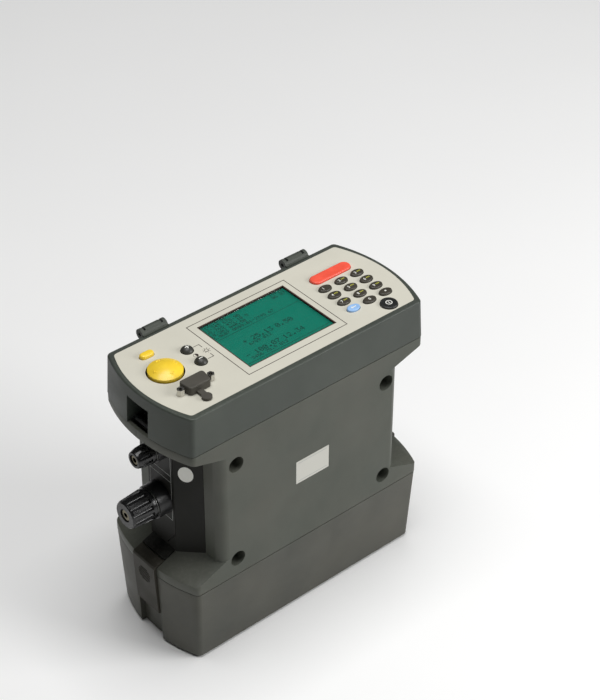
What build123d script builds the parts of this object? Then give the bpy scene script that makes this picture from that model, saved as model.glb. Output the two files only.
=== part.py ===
from build123d import *
import math
import os

os.makedirs("parts", exist_ok=True)

# ---------------------------------------------------------------------------
# Portable four-terminal resistance tester standing on its battery module.
# Millimetres.  +X runs along the long side, -Y is the front face, +Z is up.
# The origin is at the bottom centre of the whole object's box.  The casing's
# middle plane lies at Y = YC because the hinge clips stand out at the back.
# ---------------------------------------------------------------------------

# Driving dimensions
YC = -3.0                # casing's middle plane
HALF_L = 101.8           # corner half length of the casing
HALF_W = 47.0            # half width of the casing
BOW = 10.0               # how far the ends bow out past their corners
CORNER_R = 4.0           # vertical corner radius
WALL = 3.0               # moulded wall thickness

FOOT_H = 1.2             # rubber feet stand out this far
BASE_TOP = 64.5          # top of the battery module's lid
CASE_TOP = 64.1          # top rim of the battery module's case
BODY_Z0 = 64.8           # underside of the instrument
BODY_Z1 = 188.9          # top rim of the body shells
COVER_Z0 = 189.5         # lower rim of the top cover
COVER_Z1 = 220.1         # top of the cover
PLATE_Z0 = 216.6         # underside of the cover's top plate
LABEL_Z0 = 219.6         # underside of the facia label

RIM_Z = 72.0             # rim of the foot, where the sloping deck starts
DECK_SLOPE = 0.40        # rise of the deck per mm inwards
HEAD_Z = 182.0           # lower edge of the head band
HEAD_SLOPE = 0.30        # drop of the head's underside per mm inwards

WAIST_X = 80.5           # side wall of the waist
WAIST_R = 7.5            # vertical round between front face and waist
SEAM_X, SEAM_Y = 82.0, 31.3      # seam between shell and end panel
PANEL_X, PANEL_Y = 94.6, 14.0    # flat terminal panel

POST_Z = {-1: (121.3, 164.8), 1: (158.5, 121.3)}   # heights of the current and potential posts of each end
PIVOT_X, PIVOT_Z = 107.4, 69.0   # latch hinge pin
LATCH_HALF = 12.2                # half width of a latch lever

PAD_X, PAD_Y = -82.6, 5.5        # paddle centre
PADDLE_R, WELL_R = 12.1, 13.2
PADDLE_PIVOT_Z = 212.5
DSUB_X, DSUB_Y = -77.5, -20.5    # serial connector centre
JACK_PITCH = 24.99               # jack screw spacing
KEY_GAP = 0.30                   # play of a key in its hole

KEY_X = (58.6, 73.5, 88.3)
KEY_Y = (7.1, -2.8, -12.7, -22.6)
KEY_NAMES = (("key_1", "key_2", "key_3"), ("key_4", "key_5", "key_6"),
             ("key_7", "key_8", "key_9"), ("key_clear", "key_0", "key_point"))
WIN = (-37.1, -27.1, 39.2, 30.0)     # display window: x0, y0, x1, y1
TEST_X, TEST_Y = 73.6, 18.9
POWER_X, POWER_Y = 80.8, -34.4
SELECT_X, SELECT_Y = -81.9, 26.9
DOME_A = (-57.8, 14.0)
DOME_B = (-58.1, -1.5)
SCREW_XZ = ((-66.2, 164.4), (68.8, 164.4), (-66.2, 79.2), (68.8, 79.2))
COVER_SCREW_XY = ((-97.8, -37.6), (97.8, -37.6), (-97.8, 37.6), (97.8, 37.6))
STRAP_X, STRAP_Z = 103.6, 188.6  # strap bar across the end pocket
CLIP_DX = 2.5            # the two hinge clips sit a little off centre
CLIP_Z = 219.8           # axis of the hinge clips
STICKER = (-13.8, 116.6, 16.6, 137.0)    # recess in the front face: x0, z0, x1, z1


# Planes, with y counted from the casing's middle plane
def at_z(z, x=0.0, y=0.0):
    return Plane(origin=(x, YC + y, z), x_dir=(1, 0, 0), z_dir=(0, 0, 1))


def at_y(y, x=0.0, z=0.0):
    # local x = +X, local y = +Z, normal = -Y
    return Plane(origin=(x, YC + y, z), x_dir=(1, 0, 0), z_dir=(0, -1, 0))


def at_x(x, side, y=0.0, z=0.0):
    # looking at an end from outside; the normal points out of that end and
    # local y is +Z
    return Plane(origin=(x, YC + y, z), x_dir=(0, side, 0), z_dir=(side, 0, 0))


def bowed(half_l, half_w, bow, radius, z):
    # closed outline: straight long sides and ends bowed outwards
    with BuildSketch(at_z(z)) as sk:
        with BuildLine():
            Line((-half_l, -half_w), (half_l, -half_w))
            ThreePointArc((half_l, -half_w), (half_l + bow, 0), (half_l, half_w))
            Line((half_l, half_w), (-half_l, half_w))
            ThreePointArc((-half_l, half_w), (-half_l - bow, 0), (-half_l, -half_w))
        make_face()
        fillet(sk.vertices(), radius)
    return sk.sketch


def outside_arc(side, inset, z):
    # region outside the bowed end, from the end's arc outwards
    hl, hw = HALF_L - inset, 60.0
    r = (HALF_W ** 2 + BOW ** 2) / (2 * BOW)
    cx = HALF_L + BOW - r                      # centre of the end's arc
    rr = r - inset
    ex = cx + math.sqrt(rr ** 2 - hw ** 2)
    with BuildSketch(at_z(z)) as sk:
        with BuildLine():
            ThreePointArc((side * ex, -hw), (side * (cx + rr), 0), (side * ex, hw))
            Line((side * ex, hw), (side * 150, hw))
            Line((side * 150, hw), (side * 150, -hw))
            Line((side * 150, -hw), (side * ex, -hw))
        make_face()
    return sk.sketch


def waist_plan(inset, z):
    pts = [(-WAIST_X, -HALF_W), (WAIST_X, -HALF_W), (SEAM_X, -SEAM_Y), (PANEL_X, -PANEL_Y),
           (PANEL_X, PANEL_Y), (SEAM_X, SEAM_Y), (WAIST_X, HALF_W), (-WAIST_X, HALF_W),
           (-SEAM_X, SEAM_Y), (-PANEL_X, PANEL_Y), (-PANEL_X, -PANEL_Y), (-SEAM_X, -SEAM_Y)]
    with BuildSketch(at_z(z)) as sk:
        with BuildLine():
            Polyline(*pts, close=True)
        make_face()
        fillet(sk.vertices().filter_by(lambda v: abs(abs(v.Y) - HALF_W) < 0.1), WAIST_R)
        if inset > 0:
            offset(amount=-inset, kind=Kind.INTERSECTION)
    return sk.sketch


def waist_prism(inset, z0, z1):
    with BuildPart() as w:
        add(waist_plan(inset, z0))
        extrude(amount=z1 - z0)
    return w.part


def i_body(inset, z_lo, z_hi):
    # the casing's I shape: full outline with a recess at each end between
    # the foot's sloping deck and the head's sloping underside
    zd = RIM_Z - 0.677 * inset
    zh = HEAD_Z + 0.744 * inset
    zm_lo, zm_hi = zd + 38 * DECK_SLOPE, zh - 38 * HEAD_SLOPE
    keep = waist_prism(inset, z_lo, z_hi)
    with BuildPart() as body:
        add(bowed(HALF_L - inset, HALF_W - inset, BOW, max(CORNER_R - inset, 1.0), z_lo))
        extrude(amount=z_hi - z_lo)
        for side in (-1, 1):
            low = outside_arc(side, inset, zd)
            extrude(low, amount=math.hypot(38, 38 * DECK_SLOPE), dir=(-side * 38, 0, 38 * DECK_SLOPE),
                    mode=Mode.SUBTRACT)
            top = outside_arc(side, inset, zh)
            extrude(top, amount=math.hypot(38, 38 * HEAD_SLOPE), dir=(-side * 38, 0, -38 * HEAD_SLOPE),
                    mode=Mode.SUBTRACT)
            with BuildSketch(at_z(zm_lo)):
                with Locations((side * 110, 0)):
                    Rectangle(76, 120)
            extrude(amount=zm_hi - zm_lo, mode=Mode.SUBTRACT)
        # what the straight cuts took out of the waist is put back
        add(keep)
    return body.part


def box(x0, y0, z0, x1, y1, z1):
    # a plain block between two corners, y from the middle plane
    with BuildPart() as b:
        with BuildSketch(at_z(z0, (x0 + x1) / 2, (y0 + y1) / 2)):
            Rectangle(abs(x1 - x0), abs(y1 - y0))
        extrude(amount=z1 - z0)
    return b.part


def rod_y(x, z, r, y0, y1):
    with BuildPart() as b:
        with BuildSketch(at_y(y1, x, z)):
            Circle(r)
        extrude(amount=y1 - y0)
    return b.part


def rod_z(x, y, r, z0, z1):
    with BuildPart() as b:
        with BuildSketch(at_z(z0, x, y)):
            Circle(r)
        extrude(amount=z1 - z0)
    return b.part


def rod_x(side, x0, x1, y, z, r):
    # from |x| = x0 out to |x| = x1 on the given side
    with BuildPart() as b:
        with BuildSketch(at_x(side * x0, side, y, z)):
            Circle(r)
        extrude(amount=x1 - x0)
    return b.part


def xz_prism(side, pts, y0, y1):
    # polygon in the XZ plane given for the +X side, extruded from y0 to y1
    with BuildPart() as b:
        with BuildSketch(at_y(y1)):
            with BuildLine():
                Polyline(*[(side * px, pz) for px, pz in pts], close=True)
            make_face()
        extrude(amount=y1 - y0)
    return b.part


def finish(builder, name):
    builder.part.label = name
    export_step(builder.part, "parts/" + name + ".step")


# ===========================================================================
# Battery module
# ===========================================================================
with BuildPart() as battery_case:
    loft([bowed(99.3, 43.6, BOW, CORNER_R, FOOT_H), bowed(101.6, 46.9, BOW, CORNER_R, CASE_TOP)])
    edges_low = battery_case.edges().group_by(Axis.Z)[0]
    fillet(edges_low, 1.2)
    # cavity, open at the top
    loft([bowed(95.9, 40.2, BOW, 2.0, 4.4), bowed(98.0, 43.3, BOW, 2.0, 61.3)], mode=Mode.SUBTRACT)
    add(bowed(99.6, 44.9, BOW, 2.6, 61.3))
    extrude(amount=5, mode=Mode.SUBTRACT)
    for s in (-1, 1):
        # walls around the latch channel
        add(box(s * 99.0, -15.5, 3.0, s * 107.5, 15.5, CASE_TOP))
        # the channel itself, open to the end and to the bottom
        add(box(s * 104.5, -12.5, -1, s * 125, 12.5, 80), mode=Mode.SUBTRACT)
        # keeper slot for the latch tooth
        add(box(s * 101.6, -8.4, 33.0, s * 105.0, 8.4, 38.6), mode=Mode.SUBTRACT)
    # lid screw posts, clear of the channel walls
    for sx in (-1, 1):
        for sy in (-1, 1):
            add(rod_z(sx * 91, sy * 36, 4.2, 4.0, 61.3))
            add(rod_z(sx * 91, sy * 36, 1.55, 45, 62), mode=Mode.SUBTRACT)
    # pockets for the feet
    for sx in (-1, 1):
        for sy in (-1, 1):
            add(rod_z(sx * 84, sy * 30, 7.0, 0, 2.4), mode=Mode.SUBTRACT)
    # charging inlet hole in the rear wall
    add(rod_y(62, 20, 5.6, 36, 52), mode=Mode.SUBTRACT)
finish(battery_case, "battery_case")

with BuildPart() as battery_lid:
    add(bowed(99.5, 44.8, BOW, 2.5, 61.4))
    extrude(amount=BASE_TOP - 61.4)
    for s in (-1, 1):
        add(box(s * 98.8, -15.6, 60, s * 125, 15.6, 70), mode=Mode.SUBTRACT)
        for sy in (-1, 1):
            add(rod_z(s * 91, sy * 36, 1.8, 60, 70), mode=Mode.SUBTRACT)
            add(rod_z(s * 91, sy * 36, 3.4, 63.0, 70), mode=Mode.SUBTRACT)
    # opening for the contact socket
    add(box(-21, -9, 60, 21, 9, 70), mode=Mode.SUBTRACT)
finish(battery_lid, "battery_lid")

with BuildPart() as battery_cells:
    # five cells lying side by side, each with its button end
    for i in range(5):
        cx = (i - 2) * 34.4
        flip = 1 if i % 2 == 0 else -1
        with BuildSketch(at_y(29.5, cx, 21.4)):
            Circle(16.5)
        extrude(amount=59)
        with BuildSketch(at_y(flip * 31.0 if flip > 0 else -29.5, cx, 21.4)):
            Circle(4.5)
        extrude(amount=1.5)
finish(battery_cells, "battery_cells")

with BuildPart() as battery_contacts:
    # socket block let into the lid, with six contact wells
    add(box(-20.8, -8.8, 56.5, 20.8, 8.8, 64.3))
    add(box(-23.5, -11.5, 56.5, 23.5, 11.5, 61.2))
    add(box(-18.5, -6.5, 60.5, 18.5, 6.5, 66), mode=Mode.SUBTRACT)
    for i in range(6):
        add(rod_z(-15 + 6 * i, 0, 1.4, 58.0, 61), mode=Mode.SUBTRACT)
finish(battery_contacts, "battery_contacts")

with BuildPart() as charge_inlet:
    add(rod_y(62, 20, 5.4, 34, 45.0))
    add(rod_y(62, 20, 7.2, 34.0, 40.0))
    add(rod_y(62, 20, 3.2, 36.0, 46), mode=Mode.SUBTRACT)
    add(rod_y(62, 20, 0.9, 35.0, 43.5))
finish(charge_inlet, "charge_inlet")

with BuildPart() as rubber_feet:
    for sx in (-1, 1):
        for sy in (-1, 1):
            add(rod_z(sx * 84, sy * 30, 6.9, 0, 2.4))
    chamfer(rubber_feet.edges().group_by(Axis.Z)[0], 0.5)
finish(rubber_feet, "rubber_feet")

with BuildPart() as battery_lid_screws:
    for sx in (-1, 1):
        for sy in (-1, 1):
            add(rod_z(sx * 91, sy * 36, 1.5, 47, 63.1))
            add(rod_z(sx * 91, sy * 36, 3.0, 63.05, 64.4))
            add(box(sx * 91 - 0.4, sy * 36 - 2.2, 63.8, sx * 91 + 0.4, sy * 36 + 2.2, 65), mode=Mode.SUBTRACT)
            add(box(sx * 91 - 2.2, sy * 36 - 0.4, 63.8, sx * 91 + 2.2, sy * 36 + 0.4, 65), mode=Mode.SUBTRACT)
finish(battery_lid_screws, "battery_lid_screws")

# ===========================================================================
# Instrument casing
# ===========================================================================
outer_body = i_body(0.0, BODY_Z0, BODY_Z1)
inner_body = i_body(WALL, BODY_Z0 + WALL, BODY_Z1 + 5)

# opening in the waist wall that an end panel fills, and the fixed part of
# the latch cover that belongs to the panel
PANEL_CUT = ((98.0, 78.5), (78.0, 83.6), (78.0, 173.3), (98.0, 177.2))
POCKET = ((94.4, 90.0), (94.4, 77.2), (100.2, 74.8), (100.2, 60.0), (120.0, 60.0), (120.0, 90.0))
COVER_WEDGE = ((94.4, 80.1), (94.6, 80.0), (104.2, 76.4), (104.2, 74.0), (94.4, 77.6))
PLATE_YZ = ((-13.9, 175.2), (13.9, 175.2), (13.9, 95.0), (4.5, 82.6), (-4.5, 82.6), (-13.9, 95.0))


def shell_inside(sign):
    # pocket walls and screw bosses, kept within the casing's outline
    with BuildPart() as extra:
        for s in (-1, 1):
            # walls of the strap pocket in the head
            add(box(s * 95.6, -14.2, 180.0, s * 110.0, 14.2, BODY_Z1))
            # closing walls behind the latch
            add(box(s * 97.6, -14.2, 66.0, s * 110.0, 14.2, 76.0))
        for (x, z) in SCREW_XZ:
            if sign < 0:
                add(rod_y(x, z, 8.6, -46.5, -20.0))
                add(rod_y(x, z, 5.2, -22.0, 0.0))
            else:
                add(rod_y(x, z, 5.2, 0.0, 46.0))
        for (x, y) in COVER_SCREW_XY:
            add(rod_z(x, y, 5.2, 170.0, BODY_Z1))
        add(outer_body, mode=Mode.INTERSECT)
    return extra.part


def shell_half(sign):
    # sign -1 = front half, +1 = rear half
    half = box(-130, 0.0 if sign > 0 else -60, 0, 130, 60 if sign > 0 else 0.0, 250)
    inside = shell_inside(sign)
    with BuildPart() as sh:
        add(outer_body)
        add(inner_body, mode=Mode.SUBTRACT)
        add(inside)
        for s in (-1, 1):
            # opening for the end panel
            add(xz_prism(s, PANEL_CUT, -SEAM_Y, SEAM_Y), mode=Mode.SUBTRACT)
            # latch pocket and the round space its lever swings in
            add(xz_prism(s, POCKET, -12.5, 12.5), mode=Mode.SUBTRACT)
            # strap pocket behind the lip
            add(box(s * 97.4, -11.4, 182.4, s * 109.0, 11.4, 195), mode=Mode.SUBTRACT)
            # seat of the strap bar and of the latch pin
            add(rod_y(s * STRAP_X, STRAP_Z, 2.53, -13.0, 13.0), mode=Mode.SUBTRACT)
            add(box(s * STRAP_X - 2.53, -13.0, STRAP_Z, s * STRAP_X + 2.53, 13.0, 195), mode=Mode.SUBTRACT)
            add(rod_y(s * PIVOT_X, PIVOT_Z, 1.2, -14.0, 14.0), mode=Mode.SUBTRACT)
        for (x, z) in SCREW_XZ:
            if sign < 0:
                add(rod_y(x, z, 6.2, -60, -35.0), mode=Mode.SUBTRACT)
                add(rod_y(x, z, 2.2, -40, 1.0), mode=Mode.SUBTRACT)
            else:
                add(rod_y(x, z, 2.0, -1.0, 24.0), mode=Mode.SUBTRACT)
        for (x, y) in COVER_SCREW_XY:
            add(rod_z(x, y, 4.1, 160.0, 183.0), mode=Mode.SUBTRACT)
            add(rod_z(x, y, 2.2, 180.0, 195.0), mode=Mode.SUBTRACT)
        # shallow recess for a label on the front face
        add(box(STICKER[0], -48, STICKER[1], STICKER[2], -46.75, STICKER[3]), mode=Mode.SUBTRACT)
        # opening in the floor for the contact plug
        add(box(-18.2, -6.2, 60, 18.2, 6.2, 70), mode=Mode.SUBTRACT)
        add(half, mode=Mode.INTERSECT)
    return sh


front_shell = shell_half(-1)
finish(front_shell, "front_shell")
rear_shell = shell_half(1)
finish(rear_shell, "rear_shell")


def end_panel(side):
    with BuildPart() as p:
        add(waist_prism(0.0, 60, 190))
        add(waist_prism(WALL, 60, 190), mode=Mode.SUBTRACT)
        add(xz_prism(side, PANEL_CUT, -SEAM_Y + 0.25, SEAM_Y - 0.25), mode=Mode.INTERSECT)
        # fixed part of the latch cover, lying on the deck
        add(xz_prism(side, COVER_WEDGE, -LATCH_HALF, LATCH_HALF))
        add(rod_y(side * PIVOT_X, PIVOT_Z, 7.3, -12.5, 12.5), mode=Mode.SUBTRACT)
        # recess of the terminal plate
        with BuildSketch(at_x(side * (PANEL_X - 1.2), side)):
            with BuildLine():
                Polyline(*PLATE_YZ, close=True)
            make_face()
            offset(amount=0.25, kind=Kind.INTERSECTION)
        extrude(amount=5, mode=Mode.SUBTRACT)
        # holes for the two posts
        for z, r in zip(POST_Z[side], (5.05, 4.05)):
            add(rod_x(side, 85, 100, 0, z, r), mode=Mode.SUBTRACT)
    return p


left_end_panel = end_panel(-1)
finish(left_end_panel, "left_end_panel")
right_end_panel = end_panel(1)
finish(right_end_panel, "right_end_panel")

with BuildPart() as terminal_plates:
    for s in (-1, 1):
        with BuildSketch(at_x(s * (PANEL_X - 1.2), s)):
            with BuildLine():
                Polyline(*PLATE_YZ, close=True)
            make_face()
        extrude(amount=1.4)
        for z, r in zip(POST_Z[s], (5.05, 4.05)):
            add(rod_x(s, 85, 100, 0, z, r), mode=Mode.SUBTRACT)
finish(terminal_plates, "terminal_plates")

# --- posts -----------------------------------------------------------------
BIG = dict(bush_r=12.5, bush_x=104.9, hole_r=5.0, stud_r=4.0, washer_r=11.4, tip_x=126.0,
           knob_r=11.7, taper=((1.8, 10.5), (0.5, 9.9)), tip_r=9.3, flutes=14, flute_r=1.7)
SMALL = dict(bush_r=8.3, bush_x=101.2, hole_r=4.0, stud_r=3.2, washer_r=7.5, tip_x=116.0,
             knob_r=7.8, taper=((5.0, 7.4), (0.6, 6.2)), tip_r=5.7, flutes=12, flute_r=1.25)



def posts(side):
    z_big, z_small = POST_Z[side]
    return dict(BIG, z=z_big), dict(SMALL, z=z_small)


with BuildPart() as post_bushes:
    for s in (-1, 1):
        for d in posts(s):
            bush = rod_x(s, PANEL_X + 0.2, d["bush_x"], 0, d["z"], d["bush_r"])
            add(bush)
            add(rod_x(s, 88.6, PANEL_X + 0.2, 0, d["z"], d["hole_r"]))
            # nut inside the panel
            with BuildSketch(at_x(s * 88.4, s, 0, d["z"])):
                RegularPolygon(d["hole_r"] + 3.2, 6)
            extrude(amount=3.1)
            add(rod_x(s, 80, 130, 0, d["z"], d["stud_r"]), mode=Mode.SUBTRACT)
finish(post_bushes, "post_bushes")

with BuildPart() as post_studs:
    for s in (-1, 1):
        for d in posts(s):
            add(rod_x(s, 80.0, d["tip_x"] - 0.8, 0, d["z"], d["stud_r"]))
            with BuildSketch(at_x(s * 84.6, s, 0, d["z"])):
                RegularPolygon(d["stud_r"] + 3.0, 6)
            extrude(amount=3.6)
            add(rod_x(s, d["tip_x"] - 0.8 - 18, d["tip_x"] + 2, 0, d["z"], 2.0), mode=Mode.SUBTRACT)
finish(post_studs, "post_studs")


def washer(side, d, name):
    with BuildPart() as w:
        add(rod_x(side, d["bush_x"] + 0.1, d["bush_x"] + 1.0, 0, d["z"], d["washer_r"]))
        add(rod_x(side, 90, 130, 0, d["z"], d["stud_r"] + 0.08), mode=Mode.SUBTRACT)
    finish(w, name)
    return w


def knob(side, d, name):
    x0 = d["bush_x"] + 1.2
    x1 = d["tip_x"]
    n = d["flutes"]
    with BuildPart() as k:
        # turned body: collar, tapering grip, rounded tip
        with BuildSketch(Plane(origin=(0, YC, d["z"]), x_dir=(side, 0, 0), z_dir=(0, -side, 0))) as prof:
            with BuildLine():
                Polyline((x0, 0), (x0, d["knob_r"] - 0.5), (x0 + 0.5, d["knob_r"]), (x0 + 2.2, d["knob_r"]),
                         *[(x1 - back, r) for back, r in d["taper"]], (x1, d["tip_r"]), (x1, 0), close=True)
            make_face()
        revolve(axis=Axis((0, YC, d["z"]), (1, 0, 0)))
        # flutes along the grip
        with BuildSketch(at_x(side * (x0 + 3.0), side, 0, d["z"])):
            with PolarLocations(d["knob_r"], n):
                Circle(d["flute_r"])
        extrude(amount=x1 - x0 + 4, mode=Mode.SUBTRACT)
        add(rod_x(side, 80, 140, 0, d["z"], d["stud_r"] + 0.08), mode=Mode.SUBTRACT)
        add(rod_x(side, x1 - 1.6, 140, 0, d["z"], d["stud_r"] + 1.0), mode=Mode.SUBTRACT)
    finish(k, name)
    return k


for side, word in ((-1, "left"), (1, "right")):
    for d, kind in zip(posts(side), ("current", "potential")):
        washer(side, d, word + "_" + kind + "_washer")
        knob(side, d, word + "_" + kind + "_knob")


# --- latches ---------------------------------------------------------------
def head_trim(side):
    # what lies outside the turning radius on the inner side of the pin
    with BuildPart() as t:
        add(xz_prism(side, ((98, 69.0), (98, 80), (PIVOT_X, 80), (PIVOT_X, 69.0)), -20, 20))
        add(rod_y(side * PIVOT_X, PIVOT_Z, 6.9, -20, 20), mode=Mode.SUBTRACT)
    return t.part


def latch(side, name):
    with BuildPart() as lt:
        # lever: rounded head over the pin, arm hanging in the channel, tooth
        add(xz_prism(side, ((104.0, 73.4), (104.0, 76.2), (112.6, 73.2), (113.3, 71.6), (112.9, 60.0),
                            (111.1, 28.6), (110.3, 27.6), (107.9, 27.6), (107.4, 29.0), (108.6, 60.0),
                            (108.6, 64.6), (105.4, 66.8)),
                     -LATCH_HALF, LATCH_HALF))
        # the head is trimmed to a radius about the pin so that it can turn
        add(head_trim(side), mode=Mode.SUBTRACT)
        add(rod_y(side * PIVOT_X, PIVOT_Z, 3.0, -LATCH_HALF, LATCH_HALF))
        # tooth, ramped on its lower side
        add(xz_prism(side, ((108.6, 36.4), (102.6, 36.2), (102.6, 35.0), (104.6, 33.4), (108.6, 32.6)), -7.6, 7.6))
        add(rod_y(side * PIVOT_X, PIVOT_Z, 1.26, -20, 20), mode=Mode.SUBTRACT)
        # ribs of the finger pad
        for i in range(7):
            z = 53.6 + 1.8 * i
            half = math.sqrt(max(6.6 ** 2 - (z - 59.0) ** 2, 1.0))
            xo = 112.9 - (60.0 - z) * 0.0573 if z < 60 else 112.9 + (z - 60.0) * 0.0345
            add(xz_prism(side, ((xo - 0.45, z - 0.45), (xo + 2, z - 0.45), (xo + 2, z + 0.45), (xo - 0.45, z + 0.45)),
                         -half, half), mode=Mode.SUBTRACT)
    finish(lt, name)
    return lt


left_latch = latch(-1, "left_latch")
right_latch = latch(1, "right_latch")

with BuildPart() as latch_pins:
    for s in (-1, 1):
        add(rod_y(s * PIVOT_X, PIVOT_Z, 1.2, -13.9, 13.9))
finish(latch_pins, "latch_pins")

with BuildPart() as strap_bars:
    for s in (-1, 1):
        add(rod_y(s * STRAP_X, STRAP_Z, 2.5, -12.9, 12.9))
finish(strap_bars, "strap_bars")

with BuildPart() as case_screws:
    for (x, z) in SCREW_XZ:
        add(rod_y(x, z, 3.6, -37.8, -35.0))
        add(rod_y(x, z, 2.0, -35.0, 20.0))
        add(box(x - 3.0, -40, z - 0.45, x + 3.0, -36.6, z + 0.45), mode=Mode.SUBTRACT)
        add(box(x - 0.45, -40, z - 3.0, x + 0.45, -36.6, z + 3.0), mode=Mode.SUBTRACT)
    for (x, y) in COVER_SCREW_XY:
        add(rod_z(x, y, 3.6, 180.2, 183.0))
        add(rod_z(x, y, 2.0, 183.0, 202.0))
        add(box(x - 3.0, y - 0.45, 179, x + 3.0, y + 0.45, 181.4), mode=Mode.SUBTRACT)
        add(box(x - 0.45, y - 3.0, 179, x + 0.45, y + 3.0, 181.4), mode=Mode.SUBTRACT)
finish(case_screws, "case_screws")


# ===========================================================================
# Top cover and what it carries
# ===========================================================================
def oval(x, y, z, length, width, height, angle=0):
    with BuildPart() as o:
        with BuildSketch(at_z(z, x, y)):
            SlotOverall(length, width, rotation=angle)
        extrude(amount=height)
    return o.part


def ellipse(x, y, z, rx, ry, height):
    with BuildPart() as o:
        with BuildSketch(at_z(z, x, y)):
            Ellipse(rx, ry)
        extrude(amount=height)
    return o.part


def dsub(x, y, z, half_l, half_w, height):
    # D-shaped prism, wide side towards +Y
    with BuildPart() as o:
        with BuildSketch(at_z(z, x, y)) as sk:
            with BuildLine():
                Polyline((-half_l, half_w), (half_l, half_w), (half_l - 1.6, -half_w), (-half_l + 1.6, -half_w),
                         close=True)
            make_face()
            fillet(sk.vertices(), min(2.2, half_w * 0.5))
        extrude(amount=height)
    return o.part


# every opening in the facia: grow = extra size all round
def facia_holes(z, h, grow):
    with BuildPart() as f:
        for row, names in enumerate(KEY_NAMES):
            for col in range(3):
                add(ellipse(KEY_X[col], KEY_Y[row], z, 5.3 + grow, 3.5 + grow, h))
        add(oval(TEST_X, TEST_Y, z, 35.4 + 2 * grow, 9.6 + 2 * grow, h))
        add(rod_z(POWER_X, POWER_Y, 6.3 + grow, z, z + h))
        add(oval(SELECT_X, SELECT_Y, z, 11.0 + 2 * grow, 5.6 + 2 * grow, h))
        add(rod_z(DOME_A[0], DOME_A[1], 4.4 + grow, z, z + h))
        add(rod_z(DOME_B[0], DOME_B[1], 4.4 + grow, z, z + h))
    return f.part


with BuildPart() as cover_solid:
    loft([bowed(102.1, 47.0, BOW, CORNER_R, COVER_Z0), bowed(100.5, 46.3, 9.9, CORNER_R, COVER_Z1)])
    fillet(cover_solid.edges().group_by(Axis.Z)[-1], 1.4)

BOARD_POSTS = ((-47.0, -33.5), (47.0, -33.5), (-47.0, 35.5), (47.0, 35.5))

with BuildPart() as cover_ribs:
    for s in (-1, 1):
        add(box(s * 95.6, -14.2, COVER_Z0, s * 110.5, 14.2, 205.0))
        add(box(s * 99.2, -14.2, 204.0, s * 110.5, 14.2, 214.0))
        # backing of the hinge clips
        add(box(s * 63 + CLIP_DX - 12.6, 41.5, 207.5, s * 63 + CLIP_DX + 12.6, 46.0, PLATE_Z0 + 0.5))
    for (x, y) in COVER_SCREW_XY:
        add(rod_z(x, y, 4.0, COVER_Z0, PLATE_Z0 + 0.5))
    for (x, y) in BOARD_POSTS:
        add(rod_z(x, y, 2.3, 193.7, PLATE_Z0 + 0.5))
    # window frame under the plate
    add(box(WIN[0] - 2.4, WIN[1] - 2.4, 212.0, WIN[2] + 2.4, WIN[3] + 2.4, PLATE_Z0 + 0.5))
    add(cover_solid.part, mode=Mode.INTERSECT)

with BuildPart() as top_cover:
    add(cover_solid.part)
    extrude(bowed(98.2, 43.2, BOW, 2.0, COVER_Z0 - 1), amount=PLATE_Z0 - COVER_Z0 + 1, mode=Mode.SUBTRACT)
    add(cover_ribs.part)
    # bosses that stand on the body's bosses
    for (x, y) in COVER_SCREW_XY:
        add(rod_z(x, y, 4.0, BODY_Z1, COVER_Z0 + 1.0))
    # strap pockets in the ends
    for s in (-1, 1):
        add(box(s * 101.0, -11.4, 180, s * 125, 11.4, 211.0), mode=Mode.SUBTRACT)
        add(box(s * 97.4, -11.4, 180, s * 125, 11.4, 203.0), mode=Mode.SUBTRACT)
        add(rod_y(s * STRAP_X, STRAP_Z, 2.53, -13.0, 13.0), mode=Mode.SUBTRACT)
        # notch for a hinge clip in the rear edge
        add(box(s * 63 + CLIP_DX - 10.8, 43.8, 209.8, s * 63 + CLIP_DX + 10.8, 60, 230), mode=Mode.SUBTRACT)
    for (x, y) in COVER_SCREW_XY:
        add(rod_z(x, y, 2.0, 180, 204.0), mode=Mode.SUBTRACT)
    # recess of the facia label
    extrude(bowed(97.9, 42.2, 9.7, 3.0, LABEL_Z0), amount=3, mode=Mode.SUBTRACT)
    # display opening
    add(box(WIN[0] + 0.6, WIN[1] + 0.6, 205, WIN[2] - 0.6, WIN[3] - 0.6, 225), mode=Mode.SUBTRACT)
    add(box(WIN[0] - 0.1, WIN[1] - 0.1, 218.6, WIN[2] + 0.1, WIN[3] + 0.1, 225), mode=Mode.SUBTRACT)
    add(facia_holes(205, 20, KEY_GAP), mode=Mode.SUBTRACT)
    # well of the paddle
    add(rod_z(PAD_X, PAD_Y, WELL_R, 205, 225), mode=Mode.SUBTRACT)
    # serial connector cut-out and its two fixing holes
    add(dsub(DSUB_X, DSUB_Y, 205, 8.8, 4.5, 20), mode=Mode.SUBTRACT)
    for k in (-1, 1):
        add(rod_z(DSUB_X + k * JACK_PITCH / 2, DSUB_Y, 1.5, 205, 225), mode=Mode.SUBTRACT)
finish(top_cover, "top_cover")

with BuildPart() as facia_label:
    add(bowed(97.8, 42.1, 9.7, 3.0, LABEL_Z0))
    extrude(amount=COVER_Z1 - LABEL_Z0)
    add(box(WIN[0], WIN[1], 210, WIN[2], WIN[3], 230), mode=Mode.SUBTRACT)
    add(facia_holes(210, 20, KEY_GAP), mode=Mode.SUBTRACT)
    add(rod_z(PAD_X, PAD_Y, WELL_R, 210, 230), mode=Mode.SUBTRACT)
    add(dsub(DSUB_X, DSUB_Y, 210, 8.8, 4.5, 20), mode=Mode.SUBTRACT)
    for k in (-1, 1):
        add(rod_z(DSUB_X + k * JACK_PITCH / 2, DSUB_Y, 1.5, 210, 230), mode=Mode.SUBTRACT)
finish(facia_label, "facia_label")

with BuildPart() as display_window:
    # clear pane let into the top plate, a little below the label
    add(box(WIN[0], WIN[1], 218.6, WIN[2], WIN[3], 219.9))
finish(display_window, "display_window")

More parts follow.
